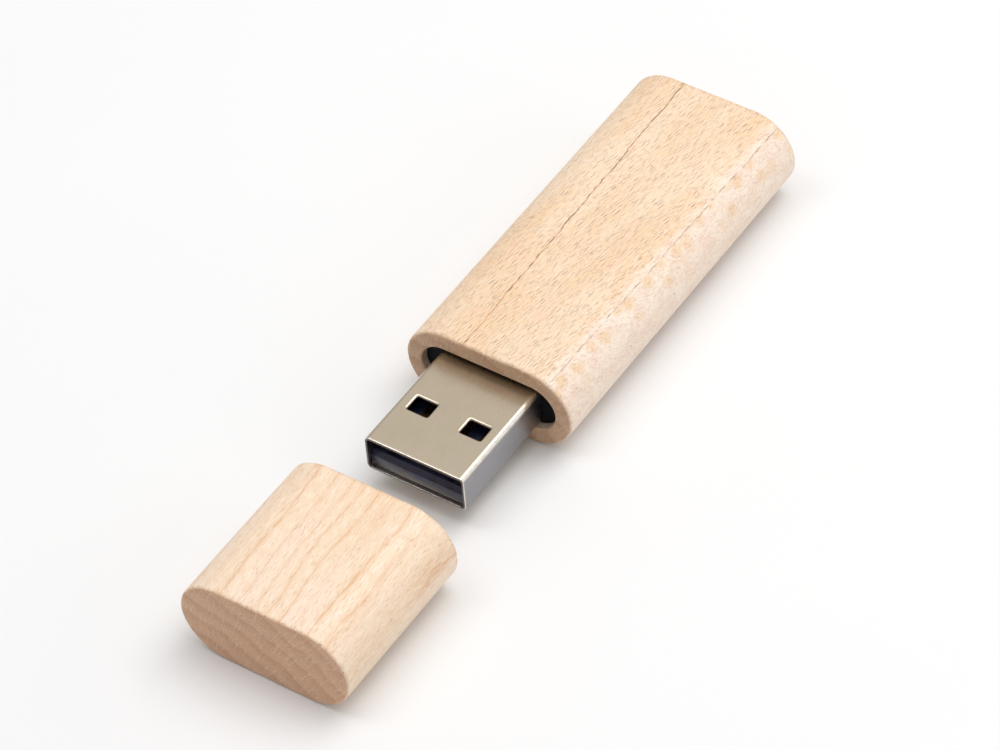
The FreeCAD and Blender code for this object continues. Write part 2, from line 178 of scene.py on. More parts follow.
def loft(bm, rings, closed=False):
    """Quads between rings of equal count. Fans close the two ends, or the last ring joins the first."""
    made = [[bm.verts.new(p) for p in ring] for ring in rings]
    pairs = list(zip(made, made[1:]))
    if closed:
        pairs.append((made[-1], made[0]))
    for low, high in pairs:
        for k in range(len(low)):
            j = (k + 1) % len(low)
            bm.faces.new((low[k], low[j], high[j], high[k]))
    if not closed:
        for ring in (made[0], made[-1]):
            middle = bm.verts.new(sum((v.co for v in ring), Vector()) / len(ring))
            for k in range(len(ring)):
                bm.faces.new((ring[k], ring[(k + 1) % len(ring)], middle))


def apply_modifiers(obj):
    """Bakes an object's modifiers into its mesh."""
    graph = bpy.context.evaluated_depsgraph_get()
    mesh = bpy.data.meshes.new_from_object(obj.evaluated_get(graph))
    obj.modifiers.clear()
    obj.data = mesh


def smooth_shell(shell):
    """Smooth shading in which the large flats stay flat and the sharp creases stay sharp."""
    mesh = shell.data
    mesh.polygons.foreach_set("use_smooth", [True] * len(mesh.polygons))
    mesh.set_sharp_from_angle(angle=math.radians(35))
    weighted = shell.modifiers.new("flat faces", "WEIGHTED_NORMAL")
    weighted.keep_sharp = True
    weighted.weight = 100
    apply_modifiers(shell)


# ==== the two wooden pieces =========================================================================
def sanded(point, face_y, inward, seed):
    """A point near an end face, moved in a little as sanding and handling leave it uneven."""
    near = max(0.0, 1.0 - abs(point.y - face_y) / (1.6 * WOOD_EDGE))
    rough = noise.noise(point / SANDED_WAVE + Vector((seed, 0, 0)))
    chip = max(0.0, noise.noise(point / CHIP_SIZE + Vector((0, seed, 0))) - 0.35)
    depth = near * (SANDED_DEPTH * (1 + rough) + CHIP_DEPTH * chip)
    towards_axis = Vector((-point.x, 0, WOOD_Z - point.z)).normalized()
    return point + towards_axis * depth + Vector((0, inward * depth, 0))


def wood_end(face_y, inward, seed, steps=7):
    """Rings of an end: the border of its flat face, then the rounded edge out to the side."""
    border = WOOD_EDGE + FACE_BORDER
    rings = [oval_ring(WOOD_WIDTH - 2 * border, WOOD_HEIGHT - 2 * border, WOOD_Z, face_y)]
    for k in range(steps + 1):
        turn = math.pi / 2 * k / steps
        inset = WOOD_EDGE * (1 - math.sin(turn))
        y = face_y + inward * WOOD_EDGE * (1 - math.cos(turn))
        ring = oval_ring(WOOD_WIDTH - 2 * inset, WOOD_HEIGHT - 2 * inset, WOOD_Z, y)
        rings.append([sanded(p, face_y, inward, seed) for p in ring])
    return rings


def hollow_rings(width, height, centre_z, face_y, inward, end_y):
    """Rings of a milled hollow: a chamfered rim in the face, then its walls."""
    grown = oval_ring(width + 2 * RIM_CHAMFER, height + 2 * RIM_CHAMFER, centre_z, face_y)
    rim = oval_ring(width, height, centre_z, face_y + inward * RIM_CHAMFER)
    return [grown, rim, oval_ring(width, height, centre_z, end_y)]


def wood_housing_piece():
    """The housing: closed rear, rounded ends, and the pocket that holds the plug and board."""
    front = wood_end(FRONT_Y, 1, 3.1)
    rear = wood_end(REAR_Y, -1, 8.7)
    pocket = hollow_rings(POCKET_WIDTH, POCKET_HEIGHT, POCKET_Z, FRONT_Y, 1, FRONT_Y + POCKET_DEPTH)
    bm = bmesh.new()
    loft(bm, pocket[::-1] + front + rear[::-1])
    return mesh_object("maple_housing", bm)


def wood_cap_piece():
    """The cap: closed end, cavity for the plug, and the round seat of the magnet at the cavity's end."""
    end = wood_end(CAP_END_Y, 1, 14.3)
    mouth = wood_end(MOUTH_Y, -1, 21.9)
    cavity = hollow_rings(CAVITY_WIDTH, CAVITY_HEIGHT, PLUG_Z, MOUTH_Y, -1, CAVITY_END_Y)
    seat = [
        circle_ring(MAGNET_RADIUS, PLUG_Z, CAVITY_END_Y, cavity[-1]),
        circle_ring(MAGNET_RADIUS, PLUG_Z, CAVITY_END_Y - MAGNET_SEAT_DEPTH, cavity[-1]),
    ]
    bm = bmesh.new()
    loft(bm, end + mouth[::-1] + cavity + seat)
    return mesh_object("maple_cap", bm)


def magnet_piece():
    """The nickel-plated disc, with rolled edges and a little room in its seat."""
    radius = MAGNET_RADIUS - MAGNET_CLEARANCE
    like = oval_ring(2 * radius, 2 * radius, PLUG_Z, 0, flat=0)
    roll = MAGNET_ROLL
    front, back = magnet_high.y, magnet_low.y
    profile = [(roll, back), (0.3 * roll, back + 0.3 * roll), (0, back + roll)]
    profile += [(0, front - roll), (0.3 * roll, front - 0.3 * roll), (roll, front)]
    bm = bmesh.new()
    loft(bm, [circle_ring(radius - inset, PLUG_Z, y, like) for inset, y in profile])
    return mesh_object("magnet_disc", bm, sharp_angle=60)


# ==== the plug ======================================================================================
def prism(name, outline, low, high):
    """A closed prism: an outline in XY between two heights."""
    bm = bmesh.new()
    lower = [bm.verts.new((x, y, low)) for x, y in outline]
    upper = [bm.verts.new((x, y, high)) for x, y in outline]
    bm.faces.new(lower[::-1])
    bm.faces.new(upper)
    for k in range(len(outline)):
        j = (k + 1) % len(outline)
        bm.faces.new((lower[k], lower[j], upper[j], upper[k]))
    return mesh_object(name, bm)


def rounded_outline(centre, size, corner, steps=5):
    """(x, y) points round a rectangle with rounded corners."""
    points = []
    for quarter, (side_x, side_y) in enumerate(((1, 1), (-1, 1), (-1, -1), (1, -1))):
        cx = centre[0] + side_x * (size[0] / 2 - corner)
        cy = centre[1] + side_y * (size[1] / 2 - corner)
        for k in range(steps + 1):
            turn = math.pi / 2 * (quarter + k / steps)
            points.append((cx + corner * math.cos(turn), cy + corner * math.sin(turn)))
    return points


def cut(obj, cutters):
    """Subtracts cutters from an object and deletes them."""
    for cutter in cutters:
        tool = obj.modifiers.new("cut", "BOOLEAN")
        tool.object = cutter
        tool.operation = "DIFFERENCE"
        tool.solver = "EXACT"
    apply_modifiers(obj)
    for cutter in cutters:
        bpy.data.objects.remove(cutter)


def rolled_profile(steps=5, last_turn=math.radians(80)):
    """(growth, height) steps of a hole whose edge is rolled inwards, from inside the sheet to above it."""
    top = PLUG_HEIGHT / 2
    profile = []
    for k in range(steps + 1):
        turn = last_turn * k / steps
        profile.append((WINDOW_ROLL * (1 - math.cos(turn)), top - WINDOW_ROLL * (1 - math.sin(turn))))
    growth, height = profile[-1]
    above = top + 0.01 * MM
    growth += (above - height) * math.tan(last_turn)
    return profile + [(growth, above), (growth, PLUG_HEIGHT)]


def window_cutters():
    """Cutters of the windows, flared at both ends so that the edges that they leave are rolled inwards."""
    y = TIP_Y + WINDOW_SETBACK + WINDOW.y / 2
    profile = rolled_profile()
    levels = [(growth, -height) for growth, height in reversed(profile)] + profile
    cutters = []
    for side in (-1, 1):
        rings = []
        for growth, height in levels:
            size = WINDOW + Vector((2 * growth, 2 * growth))
            outline = rounded_outline((side * WINDOW_SPACING / 2, y), size, WINDOW_CORNER + growth)
            rings.append([Vector((px, py, PLUG_Z + height)) for px, py in outline])
        bm = bmesh.new()
        loft(bm, rings)
        cutters.append(mesh_object("window", bm))
    return cutters


def seam_cutter():
    """A narrow cutter of the seam under the plug, with the tab where the sheet's two edges lock."""
    half = SEAM_WIDTH / 2
    start, end = TIP_Y + TAB_START, TIP_Y + TAB_END
    line = [(0, TIP_Y - MM), (0, start), (TAB_WIDTH, start), (TAB_WIDTH, end), (0, end)]
    line.append((0, TIP_Y + SEAM_LENGTH))
    rises = [half if k in (1, 2) else -half for k in range(len(line))]
    left = [(x - half, y + rise) for (x, y), rise in zip(line, rises)]
    right = [(x + half, y - rise) for (x, y), rise in zip(line, rises)]
    return prism("seam", left + right[::-1], shell_low.z - MM, shell_low.z + SEAM_DEPTH)


def bevel_edges(obj, name, angle):
    """Rolls the edges that turn by more than an angle."""
    bevel = obj.modifiers.new(name, "BEVEL")
    bevel.width = SMALL_BEVEL
    bevel.segments = 2
    bevel.limit_method = "ANGLE"
    bevel.angle_limit = math.radians(angle)
    apply_modifiers(obj)


def shell_tube():
    """The shell's four walls as one closed mesh, with the rolled lip of its opening."""
    end_y = TIP_Y + SHELL_LENGTH
    outer = []
    for k in range(5):
        turn = math.pi / 2 * k / 4
        inset = TIP_ROLL * (1 - math.sin(turn))
        y = TIP_Y + TIP_ROLL * (1 - math.cos(turn))
        size = (PLUG_WIDTH - 2 * inset, PLUG_HEIGHT - 2 * inset, PLUG_CORNER - inset)
        outer.append(rounded_ring(*size, PLUG_Z, y))
    outer.append(rounded_ring(PLUG_WIDTH, PLUG_HEIGHT, PLUG_CORNER, PLUG_Z, end_y))
    inner_size = (PLUG_WIDTH - 2 * SHEET, PLUG_HEIGHT - 2 * SHEET, PLUG_CORNER - SHEET, PLUG_Z)
    inner = [rounded_ring(*inner_size, end_y), rounded_ring(*inner_size, TIP_Y)]
    bm = bmesh.new()
    loft(bm, outer + inner, closed=True)
    return mesh_object("nickel_shell", bm)


def add_legs(shell):
    """Adds the two strips of sheet that reach back from the side walls to the board."""
    start_y = TIP_Y + SHELL_LENGTH - SHEET
    size = Vector((SHEET, shell_high.y - start_y, LEG_HEIGHT))
    bm = bmesh.new()
    bm.from_mesh(shell.data)
    for side in (-1, 1):
        middle_x = side * (PLUG_WIDTH - SHEET) / 2
        middle_z = shell_low.z + SHEET + LEG_LIFT + LEG_HEIGHT / 2
        centre = Vector((middle_x, (shell_high.y + start_y) / 2, middle_z))
        for v in bmesh.ops.create_cube(bm, size=1.0)["verts"]:
            v.co = Vector(a * b for a, b in zip(v.co, size)) + centre
    bm.to_mesh(shell.data)
    bm.free()


def shell_piece():
    """The plug's shell: bent sheet with rolled edges, four windows, a seam and two legs."""
    shell = shell_tube()
    cut(shell, window_cutters())
    bevel_edges(shell, "rolled edges", 50)
    cut(shell, [seam_cutter()])
    add_legs(shell)
    smooth_shell(shell)
    return shell


def insulator_piece():
    """The black plastic block with its tongue, sloped at the front, and a groove for each contact."""
    low, high = insulator_low, insulator_high
    tongue_top = shell_low.z + SHEET + TONGUE_HEIGHT
    block_y = TIP_Y + BLOCK_SETBACK
    side = [
        (low.y, low.z),
        (low.y, tongue_top - TONGUE_SLOPE),
        (low.y + TONGUE_SLOPE, tongue_top),
        (block_y, tongue_top),
        (block_y, high.z),
        (high.y, high.z),
        (high.y, low.z),
    ]
    bm = bmesh.new()
    left = [bm.verts.new((low.x, y, z)) for y, z in side]
    right = [bm.verts.new((high.x, y, z)) for y, z in side]
    bm.faces.new(left)
    bm.faces.new(right[::-1])
    for k in range(len(side)):
        j = (k + 1) % len(side)
        bm.faces.new((left[k], left[j], right[j], right[k]))
    block = mesh_object("plastic_tongue", bm)
    grooves = []
    for node in CONTACTS:
        a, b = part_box(node)
        front_y, back_y = a.y - GROOVE_ROOM, high.y - MM
        outline = [(a.x, front_y), (b.x, front_y), (b.x, back_y), (a.x, back_y)]
        grooves.append(prism("groove", outline, tongue_top - GROOVE_DEPTH, tongue_top + GROOVE_RISE))
    cut(block, grooves)
    bevel_edges(block, "moulded edges", 30)
    block.data.polygons.foreach_set("use_smooth", [True] * len(block.data.polygons))
    block.data.set_sharp_from_angle(angle=math.radians(50))
    return block


# ==== materials =====================================================================================
class Surface:
    """A material being wired up. A method such as noise or mix adds one node and returns its output.

    place is the point in millimetres in the piece's own frame, so a pattern moves with its piece.
    """

    def __init__(self, name):
        self.material = bpy.data.materials.new(name)
        self.material.use_nodes = True
        self.tree = self.material.node_tree
        self.shader = self.tree.nodes["Principled BSDF"]
        self.coordinates = self.tree.nodes.new("ShaderNodeTexCoord")
        self.place = self.mapping(self.coordinates.outputs["Object"], scale=(1 / MM,) * 3)

    def node(self, kind, **settings):
        made = self.tree.nodes.new(kind)
        for key, value in settings.items():
            setattr(made, key, value)
        return made

    def feed(self, socket, value):
        """Links a socket to a socket, or sets it to a plain value."""
        if isinstance(value, bpy.types.NodeSocket):
            self.tree.links.new(value, socket)
        elif isinstance(value, (tuple, list)) and socket.type == "RGBA":
            socket.default_value = (*value, 1.0)[:4]
        else:
            socket.default_value = value

    def mapping(self, vector, location=(0, 0, 0), rotation=(0, 0, 0), scale=(1, 1, 1)):
        made = self.node("ShaderNodeMapping")
        self.feed(made.inputs["Vector"], vector)
        made.inputs["Location"].default_value = location
        made.inputs["Rotation"].default_value = rotation
        made.inputs["Scale"].default_value = scale
        return made.outputs["Vector"]

    def split(self, vector):
        made = self.node("ShaderNodeSeparateXYZ")
        self.feed(made.inputs[0], vector)
        return made.outputs[0], made.outputs[1], made.outputs[2]

    def combine(self, x, y, z):
        made = self.node("ShaderNodeCombineXYZ")
        for socket, value in zip(made.inputs, (x, y, z)):
            self.feed(socket, value)
        return made.outputs[0]

    def math(self, operation, a, b=0.0, c=0.0):
        made = self.node("ShaderNodeMath", operation=operation)
        for socket, value in zip(made.inputs, (a, b, c)):
            self.feed(socket, value)
        return made.outputs[0]

    def noise(self, vector, scale=1.0, detail=2.0, roughness=0.5):
        made = self.node("ShaderNodeTexNoise")
        self.feed(made.inputs["Vector"], vector)
        made.inputs["Scale"].default_value = scale
        made.inputs["Detail"].default_value = detail
        made.inputs["Roughness"].default_value = roughness
        return made.outputs["Fac"]

    def cells(self, vector, scale=1.0, output="Distance", randomness=1.0, dimensions="3D"):
        made = self.node("ShaderNodeTexVoronoi", voronoi_dimensions=dimensions)
        self.feed(made.inputs["Vector"], vector)
        made.inputs["Scale"].default_value = scale
        made.inputs["Randomness"].default_value = randomness
        return made.outputs[output]

    def step(self, value, low, high, to_low=0.0, to_high=1.0):
        """A smooth step from to_low at low to to_high at high."""
        made = self.node("ShaderNodeMapRange", interpolation_type="SMOOTHSTEP")
        for socket, item in zip(made.inputs[:5], (value, low, high, to_low, to_high)):
            self.feed(socket, item)
        return made.outputs[0]

    def mix(self, amount, a, b):
        made = self.node("ShaderNodeMix", data_type="RGBA")
        self.feed(made.inputs["Factor"], amount)
        self.feed(made.inputs[6], a)
        self.feed(made.inputs[7], b)
        return made.outputs[2]

    def bump(self, height, distance, strength=1.0):
        made = self.node("ShaderNodeBump")
        made.inputs["Distance"].default_value = distance
        made.inputs["Strength"].default_value = strength
        self.feed(made.inputs["Height"], height)
        return made.outputs["Normal"]

    def finish(self, **inputs):
        """Feeds the shader's own sockets and returns the material."""
        for key, value in inputs.items():
            self.feed(self.shader.inputs[key.replace("_", " ")], value)
        return self.material


def srgb(r, g, b):
    """A linear colour from 0 to 255 screen values."""
    return tuple(((v / 255 + 0.055) / 1.055) ** 2.4 if v > 10 else v / 255 / 12.92 for v in (r, g, b))


def blend(a, b):
    """The colour half way between two."""
    return tuple((u + v) / 2 for u, v in zip(a, b))


CREAM = srgb(236, 204, 168)
CREAM_PALE = srgb(240, 216, 188)
# The pale of the housing's right side: pale quarter-sawn figure, and partly painted light on that lit
# side.
PALE_FIGURE_AND_LIGHT = srgb(244, 224, 209)
TAN = srgb(216, 170, 122)
PORE = srgb(186, 123, 64)
LINE_BROWN = srgb(128, 84, 50)
LINE_ORANGE = srgb(206, 146, 92)
SIDE_SLOPE = 0.0114


def grain_place(s, slant):
    """The place in millimetres, turned by the slant between the grain and the plug's axis."""
    return s.mapping(s.place, rotation=(0, 0, slant))


def end_grain_mask(s):
    """1 on the faces that cut across the grain, 0 on the long sides."""
    _, along, _ = s.split(s.coordinates.outputs["Normal"])
    return s.step(s.math("ABSOLUTE", along), 0.55, 0.95)


def dashes(s, grain, across, along, share, offset=0.0):
    """Short dashes along the grain: a share of the cells hold one, each of its own strength."""
    place = s.mapping(grain, location=(offset, offset, offset), scale=(1 / across, 1 / along, 1 / across))
    chance, strength, _ = s.split(s.cells(place, output="Color"))
    held = s.step(chance, 1 - share - 0.04, 1 - share + 0.04)
    shape = s.step(s.cells(place), 0.22, 0.44, 1.0, 0.0)
    return s.math("MULTIPLY", s.math("MULTIPLY", held, shape), s.math("MULTIPLY_ADD", strength, 0.7, 0.3))


def end_grain(s, colour, light, dark):
    """Where the grain is cut across: growth rings round a far pith, pale rays and small dark vessels."""
    x, _, z = s.split(s.place)
    across, up = s.math("ADD", x, 14.0), s.math("ADD", z, 22.0)
    radius = s.math("SQRT", s.math("ADD", s.math("MULTIPLY", across, across), s.math("MULTIPLY", up, up)))
    turn = s.math("ARCTAN2", up, across)
    wobble = s.noise(s.place, scale=0.35, detail=3.0)
    ring = s.math("FRACT", s.math("MULTIPLY_ADD", wobble, 0.8, s.math("MULTIPLY", radius, 0.42)))
    late = s.math("MULTIPLY", s.step(ring, 0.30, 0.94), s.step(ring, 0.95, 1.0, 1.0, 0.0))
    fan = s.combine(s.math("MULTIPLY", turn, 130.0), s.math("MULTIPLY", radius, 0.45), 0.0)
    rays = s.noise(fan, detail=2.0)
    vessels = s.step(s.cells(s.place, scale=3.2), 0.10, 0.34, 0.55, 0.0)
    fine = s.noise(s.place, scale=7.0, detail=3.0, roughness=0.7)
    tone = s.mix(s.step(fine, 0.25, 0.75, 0.0, 0.7), light, dark)
    tone = s.mix(s.math("MULTIPLY", late, 0.55), tone, dark)
    tone = s.mix(s.step(rays, 0.52, 0.70, 0.0, 0.40), tone, blend(light, srgb(245, 222, 196)))
    tone = s.mix(vessels, tone, blend(dark, srgb(110, 76, 52)))
    return s.mix(s.math("MULTIPLY", end_grain_mask(s), 0.94), colour, tone)


def ragged_line(s, middle_x, slope, lean, width, wander):
    """A growth line near the plane x = middle, made of short slanted dashes. Returns its strength."""
    x, y, z = s.split(s.place)
    slow = s.noise(s.combine(middle_x, y, 0.0), scale=0.25, detail=1.0)
    slow = s.math("MULTIPLY_ADD", slow, wander, -wander / 2)
    teeth = s.noise(s.combine(0.0, y, middle_x), scale=0.9, detail=2.0)
    saw = s.math("FRACT", s.math("MULTIPLY_ADD", teeth, 1.2, s.math("MULTIPLY", y, 0.62)))
    path = s.math("MULTIPLY_ADD", y, slope, middle_x)
    path = s.math("ADD", path, s.math("MULTIPLY_ADD", saw, 0.2 * wander, slow))
    path = s.math("MULTIPLY_ADD", s.math("SUBTRACT", z, 10.0), lean, path)
    distance = s.math("ABSOLUTE", s.math("SUBTRACT", x, path))
    return s.step(distance, width * 0.25, width, 1.0, 0.0)


def worn_ends(s, colour, *ends):
    """Handling marks on the rounded edges of the two ends: a darker bloom, with small chips in it."""
    _, y, _ = s.split(s.place)
    away = [s.math("ABSOLUTE", s.math("SUBTRACT", y, end / MM)) for end in ends]
    rim = s.step(s.math("MINIMUM", *away), 0.10, 0.60, 1.0, 0.0)
    rim = s.math("MULTIPLY", rim, s.math("SUBTRACT", 1.0, end_grain_mask(s)))
    bloom = s.step(s.noise(s.place, scale=1.3, detail=3.0), 0.35, 0.70, 0.10, 0.45)
    chips = s.step(s.noise(s.place, scale=3.6, detail=2.0), 0.60, 0.70, 0.0, 0.65)
    colour = s.mix(s.math("MULTIPLY", rim, bloom), colour, srgb(196, 150, 108))
    return s.mix(s.math("MULTIPLY", rim, chips), colour, srgb(120, 82, 52))


def housing_tones(s, grain, streak):
    """Cream with broad pale and rosy areas, and fine tan and pale streaks."""
    broad = s.noise(s.mapping(grain, scale=(0.28, 0.06, 0.28)), detail=3.0)
    colour = s.mix(s.step(broad, 0.35, 0.65), CREAM, CREAM_PALE)
    rosy = s.noise(s.mapping(grain, location=(5, 2, 9), scale=(0.5, 0.22, 0.5)), detail=2.0)
    colour = s.mix(s.step(rosy, 0.50, 0.75, 0.0, 0.45), colour, srgb(243, 204, 178))
    colour = s.mix(s.step(streak, 0.50, 0.72, 0.0, 0.30), colour, TAN)
    return s.mix(s.step(streak, 0.48, 0.30, 0.0, 0.35), colour, srgb(252, 230, 206))


def ray_flecks(s, colour, beside, ragged):
    """A row of soft lens-shaped spots beside the side line, with faint flowing outlines round them."""
    _, _, z = s.split(s.place)
    strip = s.mapping(s.place, location=(0.1, 0.35, 0.0), scale=(0.52, 0.39, 1.0))
    bent = s.math("MULTIPLY_ADD", s.noise(s.place, scale=1.1, detail=2.0), 0.30, -0.15)
    lens = s.math("ADD", s.cells(strip, randomness=0.55, dimensions="2D"), bent)
    high_up = s.step(z, 5.5, 8.0)
    row = s.math("MULTIPLY", s.step(beside, 7.4, 7.7), s.step(beside, 9.0, 9.5, 1.0, 0.25))
    spots = s.math("MULTIPLY", s.step(lens, 0.17, 0.40, 1.0, 0.0), s.math("MULTIPLY", row, high_up))
    colour = s.mix(s.math("MULTIPLY", spots, 0.66), colour, srgb(236, 202, 158))
    contour = s.math("FRACT", s.math("MULTIPLY", s.math("MULTIPLY_ADD", ragged, 0.5, lens), 4.2))
    contour = s.step(s.math("ABSOLUTE", s.math("SUBTRACT", contour, 0.5)), 0.0, 0.34, 1.0, 0.0)
    near_row = s.math("MULTIPLY", s.step(beside, 6.9, 7.5), s.math("MULTIPLY_ADD", high_up, 0.7, 0.3))
    contour = s.math("MULTIPLY", s.math("MULTIPLY", contour, near_row), 0.20)
    return s.mix(contour, colour, srgb(230, 186, 158))


def housing_lines(s, colour):
    """The ragged growth line along the top and the finer one along the right side."""
    _, y, _ = s.split(s.place)
    line = ragged_line(s, -2.75, -0.0205, 0.25, 0.12, 0.48)
    bits = s.noise(s.combine(4.0, y, 0.0), scale=0.8, detail=3.0)
    browner = s.math("MULTIPLY_ADD", y, -0.004, bits)
    line_colour = s.mix(s.step(browner, 0.36, 0.50), LINE_BROWN, LINE_ORANGE)
    strength = s.math("MULTIPLY", line, s.step(bits, 0.35, 0.60, 0.85, 0.62))
    colour = s.mix(strength, colour, line_colour)
    side_line = ragged_line(s, 7.30, SIDE_SLOPE, -0.2, 0.07, 0.30)
    side_bits = s.noise(s.combine(9.0, y, 0.0), scale=0.9, detail=3.0)
    strength = s.math("MULTIPLY", side_line, s.step(side_bits, 0.40, 0.62, 0.12, 0.60))
    return s.mix(strength, colour, LINE_BROWN), s.math("MAXIMUM", line, side_line)


def housing_wood():
    """Maple with fine pore dashes, a ragged growth line down its top and ray flecks on its right side."""
    s = Surface("maple_housing_wood")
    grain = grain_place(s, math.radians(9))
    x, y, _ = s.split(s.place)
    streak = s.noise(s.mapping(grain, scale=(7.0, 0.9, 7.0)), detail=1.0)
    colour = housing_tones(s, grain, streak)

    beside = s.math("MULTIPLY_ADD", y, -SIDE_SLOPE, x)
    ragged = s.noise(s.mapping(grain, scale=(1.5, 0.35, 1.5)), detail=4.0)
    # Partly painted light: the right side is paled, both as pale quarter-sawn figure and as the light
    # falling on that side.
    right = s.step(s.math("MULTIPLY_ADD", ragged, 2.6, beside), 7.6, 8.9)
    white_bits = s.step(s.noise(s.mapping(grain, scale=(0.9, 0.4, 0.9)), detail=2.0), 0.35, 0.65)
    pale = s.mix(white_bits, PALE_FIGURE_AND_LIGHT, srgb(250, 236, 222))
    colour = s.mix(s.math("MULTIPLY", right, 0.75), colour, pale)
    colour = ray_flecks(s, colour, beside, ragged)

    long_pores = (0.125, 1.2, 0.60)
    # Painted highlight: a pale copy of the pore dashes, set a little to one side, as light catching the
    # edge of each groove.
    painted_pore_highlights = dashes(s, s.mapping(grain, location=(0.085, 0.0, 0.0)), *long_pores)
    colour = s.mix(s.math("MULTIPLY", painted_pore_highlights, 0.70), colour, srgb(255, 246, 228))
    fewer_right = s.math("MULTIPLY_ADD", right, -0.55, 1.0)
    long_dashes = s.math("MULTIPLY", dashes(s, grain, *long_pores), fewer_right)
    fine_dashes = dashes(s, grain, 0.09, 0.65, 0.50, offset=7.3)
    dots = s.math("MAXIMUM", long_dashes, s.math("MULTIPLY", fine_dashes, 0.55))
    colour = s.mix(s.math("MULTIPLY", dots, 0.62), colour, PORE)

    colour, lines = housing_lines(s, colour)
    colour = end_grain(s, colour, srgb(221, 185, 153), srgb(186, 144, 110))
    colour = worn_ends(s, colour, FRONT_Y, REAR_Y)
    groove = s.math("MAXIMUM", dots, s.math("MULTIPLY", lines, 0.15))
    height = s.math("MULTIPLY_ADD", groove, -1.0, s.math("MULTIPLY", streak, 0.8))
    return s.finish(
        Base_Color=colour,
        Roughness=s.math("MULTIPLY_ADD", groove, 0.2, s.step(streak, 0.2, 0.8, 0.46, 0.62)),
        Specular_IOR_Level=0.38,
        Normal=s.bump(height, 0.047 * MM),
    )


def cap_growth_lines(s, grain):
    """Soft growth lines along the cap, unevenly spaced and of uneven strength."""
    _, _, z = s.split(s.place)
    across, _, _ = s.split(grain)
    bend = s.noise(s.mapping(grain, scale=(0.1, 0.07, 0.1)), detail=1.0)
    bend = s.math("MULTIPLY_ADD", bend, 3.2, -1.6)
    warp = s.noise(s.mapping(grain, scale=(0.7, 0.05, 0.7)), detail=2.0)
    spread = s.noise(s.combine(across, 0.0, 3.0), scale=0.16, detail=1.0)
    rows = s.math("MULTIPLY_ADD", z, 0.35, s.math("ADD", across, bend))
    rows = s.math("MULTIPLY_ADD", spread, 5.0, s.math("MULTIPLY_ADD", warp, 1.3, rows))
    rows = s.math("MULTIPLY", rows, 0.52)
    middle = s.math("ABSOLUTE", s.math("SUBTRACT", s.math("FRACT", rows), 0.5))
    broken = s.step(s.noise(s.mapping(grain, scale=(3.0, 0.5, 3.0)), detail=3.0), 0.36, 0.62, 0.25, 1.0)
    heavy = s.noise(s.combine(s.math("FLOOR", rows), 0.0, 7.0), scale=2.7, detail=0.0)
    heavy = s.step(heavy, 0.30, 0.65, 0.35, 1.25)
    fine = s.math("MULTIPLY", s.math("MULTIPLY", s.step(middle, 0.0, 0.07, 1.0, 0.0), broken), heavy)
    glow = s.math("MULTIPLY", s.step(middle, 0.0, 0.35, 0.22, 0.0), heavy)
    return s.math("ADD", s.math("MULTIPLY", fine, 0.46), glow)


def cap_wood():
    """Maple of the cap: paler and pinker, with soft tan growth lines and short fine pores."""
    s = Surface("maple_cap_wood")
    grain = grain_place(s, math.radians(-3))
    broad = s.noise(s.mapping(grain, location=(3, 0, 5), scale=(0.3, 0.05, 0.3)), detail=3.0)
    colour = s.mix(s.step(broad, 0.35, 0.65), srgb(243, 219, 197), CREAM_PALE)
    warm = s.noise(s.mapping(grain, location=(11, 4, 2), scale=(0.22, 0.05, 0.22)), detail=2.0)
    colour = s.mix(s.step(warm, 0.45, 0.70, 0.0, 0.50), colour, CREAM)
    colour = s.mix(cap_growth_lines(s, grain), colour, srgb(218, 168, 120))
    streak = s.noise(s.mapping(grain, scale=(7.0, 0.7, 7.0)), detail=1.0)
    colour = s.mix(s.step(streak, 0.50, 0.74, 0.0, 0.26), colour, TAN)
    colour = s.mix(s.step(streak, 0.48, 0.30, 0.0, 0.40), colour, srgb(254, 238, 222))

    long_pores = (0.12, 0.95, 0.22, 3.7)
    # Painted highlight: a pale copy of the pore dashes, set a little to one side, as light catching the
    # edge of each groove.
    painted_pore_highlights = dashes(s, s.mapping(grain, location=(0.08, 0.0, 0.0)), *long_pores)
    colour = s.mix(s.math("MULTIPLY", painted_pore_highlights, 0.4), colour, srgb(255, 246, 232))
    long_dashes = s.math("MULTIPLY", dashes(s, grain, *long_pores), 0.75)
    fine_dashes = s.math("MULTIPLY", dashes(s, grain, 0.09, 0.60, 0.36, offset=9.1), 0.5)
    dots = s.math("MAXIMUM", long_dashes, fine_dashes)
    colour = s.mix(s.math("MULTIPLY", dots, 0.62), colour, PORE)

    colour = end_grain(s, colour, srgb(224, 180, 144), srgb(188, 136, 100))
    colour = worn_ends(s, colour, CAP_END_Y, MOUTH_Y)
    height = s.math("MULTIPLY_ADD", dots, -0.9, s.math("MULTIPLY", streak, 0.7))
    return s.finish(
        Base_Color=colour,
        Roughness=s.math("MULTIPLY_ADD", dots, 0.2, s.step(streak, 0.2, 0.8, 0.34, 0.48)),
        Specular_IOR_Level=0.5,
        Normal=s.bump(height, 0.035 * MM),
    )


